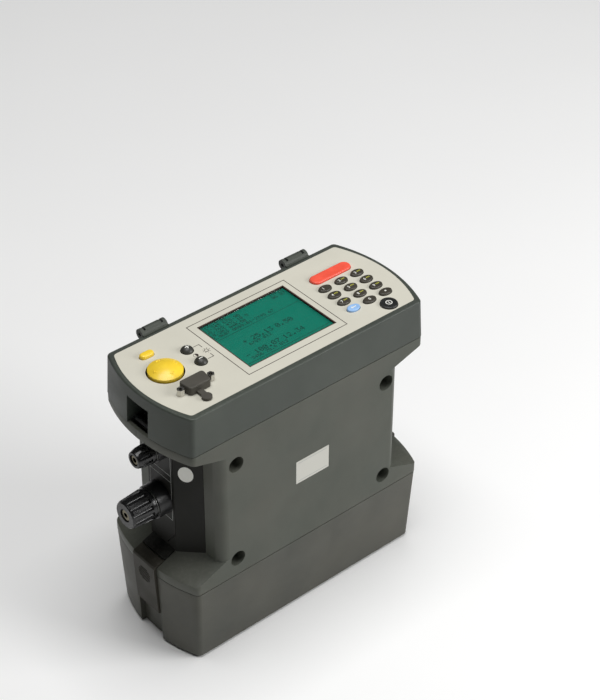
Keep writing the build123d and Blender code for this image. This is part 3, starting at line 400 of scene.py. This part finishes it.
for node, obj in sorted(NODES.items()):
    kind = FINISH.get(node)
    if kind is None:
        if node.startswith("key_"):
            kind = "brown"
        elif node.endswith("_knob"):
            kind = "post"
        elif node.endswith("_washer"):
            kind = "washer"
    obj.material_slots[0].material = M[kind]


# ---------------------------------------------------------------------------
# Soft edges on the carried-over mouldings
# ---------------------------------------------------------------------------
def soften(node, width, angle=32.0, segments=2):
    o = NODES[node]
    w = o.modifiers.new("weld", "WELD")
    w.merge_threshold = 0.000004
    b = o.modifiers.new("round", "BEVEL")
    b.width = width
    b.segments = segments
    b.limit_method = "ANGLE"
    b.angle_limit = math.radians(angle)
    b.harden_normals = False
    b.miter_outer = "MITER_ARC"
    b.use_clamp_overlap = True


soften("front_shell", 0.0011)
soften("rear_shell", 0.0011)
soften("battery_case", 0.0005)
soften("left_latch", 0.0004)
soften("right_latch", 0.0004)

# ---------------------------------------------------------------------------
# Printed and raised details
# ---------------------------------------------------------------------------
def place(origin, u, v, w):
    """Local millimetres to row metres."""
    m = Matrix(((u[0], v[0], w[0], origin[0]), (u[1], v[1], w[1], origin[1]), (u[2], v[2], w[2], origin[2]),
                (0, 0, 0, 1)))
    return m @ Matrix.Diagonal((MM, MM, MM, 1.0))


def prisms(name, shapes, where, height, mat, body, base=0.0, soft=0.0):
    """Each shape is a closed outline in local millimetres; all are raised by height."""
    bm = bmesh.new()
    for shape in shapes:
        pts = shape
        if (Vector(pts[0]) - Vector(pts[-1])).length < 1e-6:
            pts = pts[:-1]
        low = [bm.verts.new((x, y, base)) for x, y in pts]
        top = [bm.verts.new((x, y, base + height)) for x, y in pts]
        n = len(pts)
        bm.faces.new(top)
        bm.faces.new(low[::-1])
        for i in range(n):
            j = (i + 1) % n
            bm.faces.new((low[i], low[j], top[j], top[i]))
    bmesh.ops.recalc_face_normals(bm, faces=bm.faces)
    bmesh.ops.transform(bm, matrix=where, verts=bm.verts)
    me = bpy.data.meshes.new(name)
    bm.to_mesh(me)
    bm.free()
    o = bpy.data.objects.new(name, me)
    bpy.context.scene.collection.objects.link(o)
    me.materials.append(mat)
    if soft:
        b = o.modifiers.new("round", "BEVEL")
        b.width = soft * MM
        b.segments = 2
        b.limit_method = "ANGLE"
        b.angle_limit = math.radians(40)
    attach(o, body)
    return o


def line(p, q, w):
    p, q = Vector(p), Vector(q)
    d = (q - p).normalized() * (w / 2)
    n = Vector((-d.y, d.x))
    return [tuple(p - d + n), tuple(p - d - n), tuple(q + d - n), tuple(q + d + n)]


def frame_lines(x0, y0, x1, y1, w):
    return [line((x0, y0), (x1, y0), w), line((x1, y0), (x1, y1), w), line((x1, y1), (x0, y1), w),
            line((x0, y1), (x0, y0), w)]


def arc_band(cx, cy, r, w, a0=0.0, a1=360.0, n=40, ry=None):
    """Ring or arc as a chain of small quads."""
    ry = r if ry is None else ry
    out = []
    for i in range(n):
        a, b = (math.radians(a0 + (a1 - a0) * k / n) for k in (i, i + 1))
        ro, ri = r + w / 2, r - w / 2
        yo, yi = ry + w / 2, ry - w / 2
        out.append([(cx + ro * math.cos(a), cy + yo * math.sin(a)), (cx + ro * math.cos(b), cy + yo * math.sin(b)),
                    (cx + ri * math.cos(b), cy + yi * math.sin(b)), (cx + ri * math.cos(a), cy + yi * math.sin(a))])
    return out


def disc(cx, cy, r, a0=0.0, a1=360.0, n=36, ry=None):
    ry = r if ry is None else ry
    pts = [(cx + r * math.cos(math.radians(a0 + (a1 - a0) * i / n)),
            cy + ry * math.sin(math.radians(a0 + (a1 - a0) * i / n))) for i in range(n + (0 if a1 - a0 >= 360 else 1))]
    return pts


UP = dict(u=(1, 0, 0), v=(0, 1, 0), w=(0, 0, 1))
label_lo, label_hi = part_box("facia_label")
FACIA = label_hi.z
win_lo, win_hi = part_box("display_window")
on_facia = place((0, 0, FACIA), **UP)
mm = lambda v: v / MM

# thin frame line around the display
wx0, wy0, wx1, wy1 = mm(win_lo.x), mm(win_lo.y), mm(win_hi.x), mm(win_hi.y)
prisms("display_frame_line", frame_lines(wx0 - 5.5, wy0 - 5.7, wx1 + 4.4, wy1 + 4.3, 0.55), on_facia, 0.03,
       M["ink_dark"], "instrument")

# printed bezel on the pane's edge
pane_top = place((0, 0, win_hi.z), **UP)
prisms("display_bezel_print", frame_lines(wx0 + 0.45, wy0 + 0.45, wx1 - 0.45, wy1 - 0.45, 0.85), pane_top, 0.02,
       M["ink_bezel"], "instrument")

# bracket lines, sun and half-moon beside the two dome buttons
a_lo, a_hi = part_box("contrast_button")
b_lo, b_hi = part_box("backlight_button")
ax, ay = mm((a_lo.x + a_hi.x) / 2), mm((a_lo.y + a_hi.y) / 2)
bx, by = mm((b_lo.x + b_hi.x) / 2), mm((b_lo.y + b_hi.y) / 2)
sx, sy = -47.7, (ay + by) / 2 - 0.2
marks = [line((ax + 5.6, ay + 0.3), (sx, ay + 0.3), 0.46), line((sx, ay + 0.3), (sx, sy + 4.6), 0.46),
         line((sx, sy - 4.4), (sx, by - 0.4), 0.46), line((sx, by - 0.4), (bx + 5.8, by - 0.4), 0.46)]
marks += arc_band(sx, sy, 1.35, 0.42)
for i in range(8):
    t = math.radians(45 * i)
    marks.append(line((sx + 2.0 * math.cos(t), sy + 2.0 * math.sin(t)),
                      (sx + 2.8 * math.cos(t), sy + 2.8 * math.sin(t)), 0.30))
mx, my = ax + 1.3, (ay + by) / 2 - 0.1
marks += arc_band(mx, my, 1.75, 0.28)
marks.append(disc(mx, my, 1.7, -90, 90))
prisms("facia_marks", marks, on_facia, 0.03, M["ink_dark"], "instrument")


# plus and minus on the domes, following the crown
def on_dome(name, shapes, node, body):
    lo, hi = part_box(node)
    cx, cy = (lo.x + hi.x) / 2, (lo.y + hi.y) / 2
    r, h = 4.4, 2.6
    big = (r * r + h * h) / (2 * h)
    top = mm(hi.z)
    bm = bmesh.new()
    for pts in shapes:
        low, up = [], []
        for x, y in pts:
            z = top - big + math.sqrt(big * big - x * x - y * y)
            low.append(bm.verts.new((x, y, z - 0.05)))
            up.append(bm.verts.new((x, y, z + 0.04)))
        n = len(pts)
        bm.faces.new(up)
        bm.faces.new(low[::-1])
        for i in range(n):
            j = (i + 1) % n
            bm.faces.new((low[i], low[j], up[j], up[i]))
    bmesh.ops.recalc_face_normals(bm, faces=bm.faces)
    bmesh.ops.transform(bm, matrix=place((cx, cy, 0), **UP), verts=bm.verts)
    me = bpy.data.meshes.new(name)
    bm.to_mesh(me)
    bm.free()
    o = bpy.data.objects.new(name, me)
    bpy.context.scene.collection.objects.link(o)
    me.materials.append(M["ink_white"])
    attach(o, body)
    return o


def cells(x0, y0, x1, y1, n):
    """A bar cut into short lengths so that it can follow a curve."""
    out = []
    for i in range(n):
        a, b = i / n, (i + 1) / n
        if abs(x1 - x0) >= abs(y1 - y0):
            out.append([(x0 + (x1 - x0) * a, y0), (x0 + (x1 - x0) * b, y0), (x0 + (x1 - x0) * b, y1),
                        (x0 + (x1 - x0) * a, y1)])
        else:
            out.append([(x0, y0 + (y1 - y0) * a), (x1, y0 + (y1 - y0) * a), (x1, y0 + (y1 - y0) * b),
                        (x0, y0 + (y1 - y0) * b)])
    return out


on_dome("contrast_mark", cells(-1.7, -0.35, 1.7, 0.35, 6) + cells(-0.35, 0.35, 0.35, 1.7, 3)
        + cells(-0.35, -1.7, 0.35, -0.35, 3), "contrast_button", "contrast_button")
on_dome("backlight_mark", cells(-1.7, -0.35, 1.7, 0.35, 6), "backlight_button", "backlight_button")

# power symbol and the raised rings of its button
p_lo, p_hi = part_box("power_button")
px, py = mm((p_lo.x + p_hi.x) / 2), mm((p_lo.y + p_hi.y) / 2)
on_power = place((px * MM, py * MM, p_hi.z), **UP)
prisms("power_symbol", arc_band(0, 0, 2.15, 0.62, n=44) + [line((0, -1.0), (0, 1.0), 0.62)], on_power, 0.06,
       M["ink_white"], "power_button")
prisms("power_ring", arc_band(0, 0, 4.35, 0.55, n=56), on_power, 0.25, M["power"], "power_button",
       base=-0.05)


# digits and small legends on the keys
def glyph(text, size):
    cu = bpy.data.curves.new("t", "FONT")
    cu.body = text
    cu.size = size
    cu.extrude = 0.02
    cu.resolution_u = 4
    cu.align_x = "CENTER"
    cu.align_y = "CENTER"
    cu.offset = 0.05
    t = bpy.data.objects.new("t", cu)
    bpy.context.scene.collection.objects.link(t)
    bpy.context.view_layer.update()
    me = bpy.data.meshes.new_from_object(t.evaluated_get(bpy.context.evaluated_depsgraph_get()))
    bpy.data.objects.remove(t)
    bpy.data.curves.remove(cu)
    return me


rng = random.Random(7)
KEY_TEXT = {"key_%d" % i: str(i) for i in range(10)}
for node in sorted(NODES):
    if not node.startswith("key_") or node in ("key_mat", "key_board"):
        continue
    lo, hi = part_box(node)
    cx, cy, top = (lo.x + hi.x) / 2, (lo.y + hi.y) / 2, hi.z
    if node in KEY_TEXT:
        me = glyph(KEY_TEXT[node], 3.3)
        dx = 0.0 if node == "key_0" else -1.7
        co = [v.co.copy() for v in me.vertices]
        mid = Vector(((min(c.x for c in co) + max(c.x for c in co)) / 2,
                      (min(c.y for c in co) + max(c.y for c in co)) / 2, 0))
        for v in me.vertices:
            v.co -= mid
        me.transform(place((cx + dx * MM, cy, top + 0.00001), **UP))
        me.name = node + "_digit"
        o = bpy.data.objects.new(node + "_digit", me)
        bpy.context.scene.collection.objects.link(o)
        me.materials.clear()
        me.materials.append(M["ink_white"])
        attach(o, node)
    if node not in ("key_0", "key_1", "key_point", "key_clear"):
        # a short row of blank legend blocks in place of lettering
        blocks = []
        for k in range(3):
            x0 = 0.05 + 1.12 * k
            blocks.append([(x0, -0.25), (x0 + 0.78, -0.25), (x0 + 0.78, 0.85), (x0, 0.85)])
        prisms(node + "_legend", blocks, place((cx, cy, top), **UP), 0.03, M["ink_green"], node)
    if node == "key_point":
        prisms("key_point_dot", [disc(0, 0, 0.75, n=24)], place((cx, cy, top), **UP), 0.04, M["ink_white"], node)
    if node == "key_clear":
        # generic back-space arrow
        prisms("key_clear_arrow", [[(-2.2, 0), (-0.9, 1.15), (-0.9, 0.38), (2.2, 0.38), (2.2, -0.38), (-0.9, -0.38),
                                    (-0.9, -1.15)]], place((cx, cy, top), **UP), 0.04, M["ink_white"], node)


# raised arrowheads on the paddle's crown
def on_crown(name, outlines, node, body, r, h, rise, mat):
    lo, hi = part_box(node)
    cx, cy = (lo.x + hi.x) / 2, (lo.y + hi.y) / 2
    big = (r * r + h * h) / (2 * h)
    top = mm(hi.z)
    bm = bmesh.new()
    for pts in outlines:
        verts = [bm.verts.new((x, y, 0)) for x, y in pts]
        bm.faces.new(verts)
    bmesh.ops.triangulate(bm, faces=bm.faces[:])
    bmesh.ops.subdivide_edges(bm, edges=bm.edges[:], cuts=3, use_grid_fill=True)
    bmesh.ops.triangulate(bm, faces=bm.faces[:])
    rim = {v for e in bm.edges if e.is_boundary for v in e.verts}
    for v in bm.verts:
        x, y = v.co.x, v.co.y
        z = top - big + math.sqrt(max(big * big - x * x - y * y, 0.0))
        v.co.z = z + (-0.06 if v in rim else rise)
    bmesh.ops.recalc_face_normals(bm, faces=bm.faces)
    for f in bm.faces:
        f.smooth = True
    bmesh.ops.transform(bm, matrix=place((cx, cy, 0), **UP), verts=bm.verts)
    me = bpy.data.meshes.new(name)
    bm.to_mesh(me)
    bm.free()
    o = bpy.data.objects.new(name, me)
    bpy.context.scene.collection.objects.link(o)
    me.materials.append(mat)
    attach(o, body)
    return o


arrows = []
for k in range(4):
    t = math.radians(90 * k)
    c, s = math.cos(t), math.sin(t)
    tri = [(9.9, 0.0), (7.9, 2.0), (7.35, 1.45), (8.6, 0.0), (7.35, -1.45), (7.9, -2.0)]
    arrows.append([(x * c - y * s, x * s + y * c) for x, y in tri])
pad_lo, pad_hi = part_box("paddle")
on_crown("paddle_arrows", arrows, "paddle", "paddle", 12.1, 3.5, 0.42, M["yellow"])

# ---------------------------------------------------------------------------
# What the display shows: dot-matrix digits only
# ---------------------------------------------------------------------------
DOTS = {
    "0": ("01110", "10001", "10011", "10101", "11001", "10001", "01110"),
    "1": ("00100", "01100", "00100", "00100", "00100", "00100", "01110"),
    "2": ("01110", "10001", "00001", "00010", "00100", "01000", "11111"),
    "3": ("11111", "00010", "00100", "00010", "00001", "10001", "01110"),
    "4": ("00010", "00110", "01010", "10010", "11111", "00010", "00010"),
    "5": ("11111", "10000", "11110", "00001", "00001", "10001", "01110"),
    "6": ("00110", "01000", "10000", "11110", "10001", "10001", "01110"),
    "7": ("11111", "00001", "00010", "00100", "01000", "01000", "01000"),
    "8": ("01110", "10001", "10001", "01110", "10001", "10001", "01110"),
    "9": ("01110", "10001", "10001", "01111", "00001", "00010", "01100"),
    ".": ("00000", "00000", "00000", "00000", "00000", "01100", "01100"),
    "-": ("00000", "00000", "00000", "11111", "00000", "00000", "00000"),
    "+": ("00000", "00100", "00100", "11111", "00100", "00100", "00000"),
    ":": ("00000", "01100", "01100", "00000", "01100", "01100", "00000"),
    " ": ("00000",) * 7,
}


def dot_text(bm, text, x, y, pitch, z):
    """Lower left corner of the text at (x, y), in millimetres."""
    side = pitch * 0.96
    for ch in text:
        for row, bits in enumerate(DOTS[ch]):
            for col, bit in enumerate(bits):
                if bit == "1":
                    x0, y0 = x + col * pitch, y + (6 - row) * pitch
                    bm.faces.new([bm.verts.new(p) for p in ((x0, y0, z), (x0 + side, y0, z),
                                                            (x0 + side, y0 + side, z), (x0, y0 + side, z))])
        x += 6 * pitch


mod_lo, mod_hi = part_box("display_module")
bm = bmesh.new()
glass_z = mm(mod_hi.z) + 0.03
small, large = 0.40, 0.62
rows = [("0123.4-56", wx0 + 1.8, 23.8), ("12.345 678.90", wx0 + 1.8, 20.2), ("98.765 432.10 5", wx0 + 1.8, 16.6),
        ("10.203 040.50", wx0 + 1.8, 13.0), ("5.0607 0809.01-2345 67", wx0 + 1.8, 9.4),
        ("19:28", wx1 - 14.0, 23.8), ("06 07", wx1 - 14.0, 20.2)]
for text, x, y in rows:
    dot_text(bm, text, x, y, small, glass_z)
dot_text(bm, "+ 25.13", -22.0, -6.6, large, glass_z)
dot_text(bm, "0.50", 6.6, -6.6, large, glass_z)
dot_text(bm, "6789 012", -20.0, -10.2, small, glass_z)
dot_text(bm, "- 100.07", -30.0, -19.8, large, glass_z)
dot_text(bm, "12.34", 2.4, -19.8, large, glass_z)
dot_text(bm, "3456 78.9 012", -28.5, -23.4, small, glass_z)
for x0, y0, x1, y1 in ((wx0 + 1.8, 7.4, wx1 - 2.0, 7.7), (wx0 + 1.8, -25.4, wx1 - 2.0, -25.1)):
    bm.faces.new([bm.verts.new(p) for p in ((x0, y0, glass_z), (x1, y0, glass_z), (x1, y1, glass_z),
                                            (x0, y1, glass_z))])
bmesh.ops.transform(bm, matrix=Matrix.Diagonal((MM, MM, MM, 1.0)), verts=bm.verts)
me = bpy.data.meshes.new("display_dots")
bm.to_mesh(me)
bm.free()
me.materials.append(M["segments"])
dots = bpy.data.objects.new("display_dots", me)
bpy.context.scene.collection.objects.link(dots)
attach(dots, "instrument")

# ---------------------------------------------------------------------------
# Blank stickers and terminal plate print
# ---------------------------------------------------------------------------
shell_lo, shell_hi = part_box("front_shell")


def rounded(x0, y0, x1, y1, r, n=5):
    out = []
    for cx, cy, a in ((x1 - r, y1 - r, 0), (x0 + r, y1 - r, 90), (x0 + r, y0 + r, 180), (x1 - r, y0 + r, 270)):
        for i in range(n + 1):
            t = math.radians(a + 90 * i / n)
            out.append((cx + r * math.cos(t), cy + r * math.sin(t)))
    return out


front = place((0, shell_lo.y + 0.00025, 0), u=(1, 0, 0), v=(0, 0, 1), w=(0, -1, 0))
prisms("front_sticker", [rounded(-13.5, 116.9, 16.3, 136.7, 0.5)], front, 0.14, M["sticker"], "instrument",
       soft=0.05)
prisms("front_sticker_rule", [rounded(-11.6, 118.6, 14.4, 119.1, 0.2), rounded(-11.6, 134.5, 14.4, 135.0, 0.2)],
       front, 0.155, M["ink_grey"], "instrument")

for side, word in ((-1, "left"), (1, "right")):
    lo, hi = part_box("terminal_plates")
    face = hi.x if side > 0 else lo.x
    end = place((face, -0.003, 0), u=(0, side, 0), v=(0, 0, 1), w=(side, 0, 0))
    w = 0.38
    mid = 146.4 if side < 0 else 139.0
    pr = [line((-11.7, 106.8), (-11.7, 173.4), w), line((11.7, 106.8), (11.7, 173.4), w),
          line((-11.7, 173.4), (11.7, 173.4), w), line((-11.7, mid), (11.7, mid), w),
          line((-11.7, mid - 5.4), (11.7, mid - 5.4), w), line((-11.7, 106.8), (11.7, 106.8), w)]
    prisms(word + "_plate_print", pr, end, 0.04, M["ink_grey"], "instrument")


def oval_sticker(name, side):
    """Blank white oval on the cheek between the seam and the terminal plate."""
    a, b = Vector((side * 82.0, -31.3)), Vector((side * 94.6, -14.0))
    t = (b - a).normalized()
    nrm = Vector((t.y, -t.x))
    if nrm.x * side < 0:
        nrm = -nrm
    mid = a + (b - a) * 0.50 + t * 1.7
    where = place((mid.x * MM, (mid.y - 3.0) * MM, 0.1515), u=(t.x * side, t.y * side, 0), v=(0, 0, 1),
                  w=(nrm.x, nrm.y, 0))
    return prisms(name, [disc(0, 0, 5.4, n=40, ry=6.6)], where, 0.12, M["ink_white"], "instrument",
                  soft=0.04)


oval_sticker("cheek_sticker", -1)

# ---------------------------------------------------------------------------
# Room
# ---------------------------------------------------------------------------
bm = bmesh.new()
bmesh.ops.create_grid(bm, x_segments=8, y_segments=8, size=6.0)
me = bpy.data.meshes.new("floor")
bm.to_mesh(me)
bm.free()
floor = bpy.data.objects.new("floor", me)
bpy.context.scene.collection.objects.link(floor)
floor.location = (0, 0, cad_lo.z - 0.00005)
f = Net("floor_paper")
f.link(f.blend(f.fit(f.noise(3.0, 3.0), 0.0, 1.0, 0.3, 0.7), (0.93, 0.93, 0.925, 1), (0.95, 0.95, 0.945, 1)),
       f.bsdf.inputs["Base Color"])
f.set(Roughness=0.9, Specular_IOR_Level=0.1)
me.materials.append(f.mat)

world = bpy.context.scene.world or bpy.data.worlds.new("world")
bpy.context.scene.world = world
world.use_nodes = True
bg = world.node_tree.nodes["Background"]
bg.inputs[0].default_value = (1.0, 1.0, 1.0, 1.0)
bg.inputs[1].default_value = 0.03


def softbox(name, where, target, size, power, colour=(1, 1, 1)):
    d = bpy.data.lights.new(name, "AREA")
    d.shape = "RECTANGLE"
    d.size, d.size_y = size
    d.energy = power
    d.color = colour
    o = bpy.data.objects.new(name, d)
    bpy.context.scene.collection.objects.link(o)
    o.location = where
    o.rotation_mode = "QUATERNION"
    o.rotation_quaternion = (Vector(target) - Vector(where)).to_track_quat("-Z", "Y")
    return o


softbox("key", (0.80, -1.05, 0.80), (0.02, 0, 0.12), (0.75, 0.65), 12.5)
softbox("top", (0.0, 0.0, 3.0), (0, 0, 0.1), (2.0, 1.8), 70.0)
softbox("fill", (-1.9, -0.6, 1.0), (0, 0, 0.12), (1.2, 1.2), 0.3)

cam = bpy.data.cameras.new("camera")
cam.sensor_fit = "AUTO"
cam.sensor_width = 36.0
cam.lens = 102.797
cam.clip_start, cam.clip_end = 0.05, 60.0
eye = bpy.data.objects.new("camera", cam)
bpy.context.scene.collection.objects.link(eye)
eye.matrix_world = Matrix(((0.759533, 0.394114, -0.517478, -0.691428), (-0.650459, 0.464535, -0.600924, -0.840441),
                           (0.003554, 0.793020, 0.609185, 1.034312), (0, 0, 0, 1)))
bpy.context.scene.camera = eye
bpy.context.scene.view_settings.view_transform = "Standard"
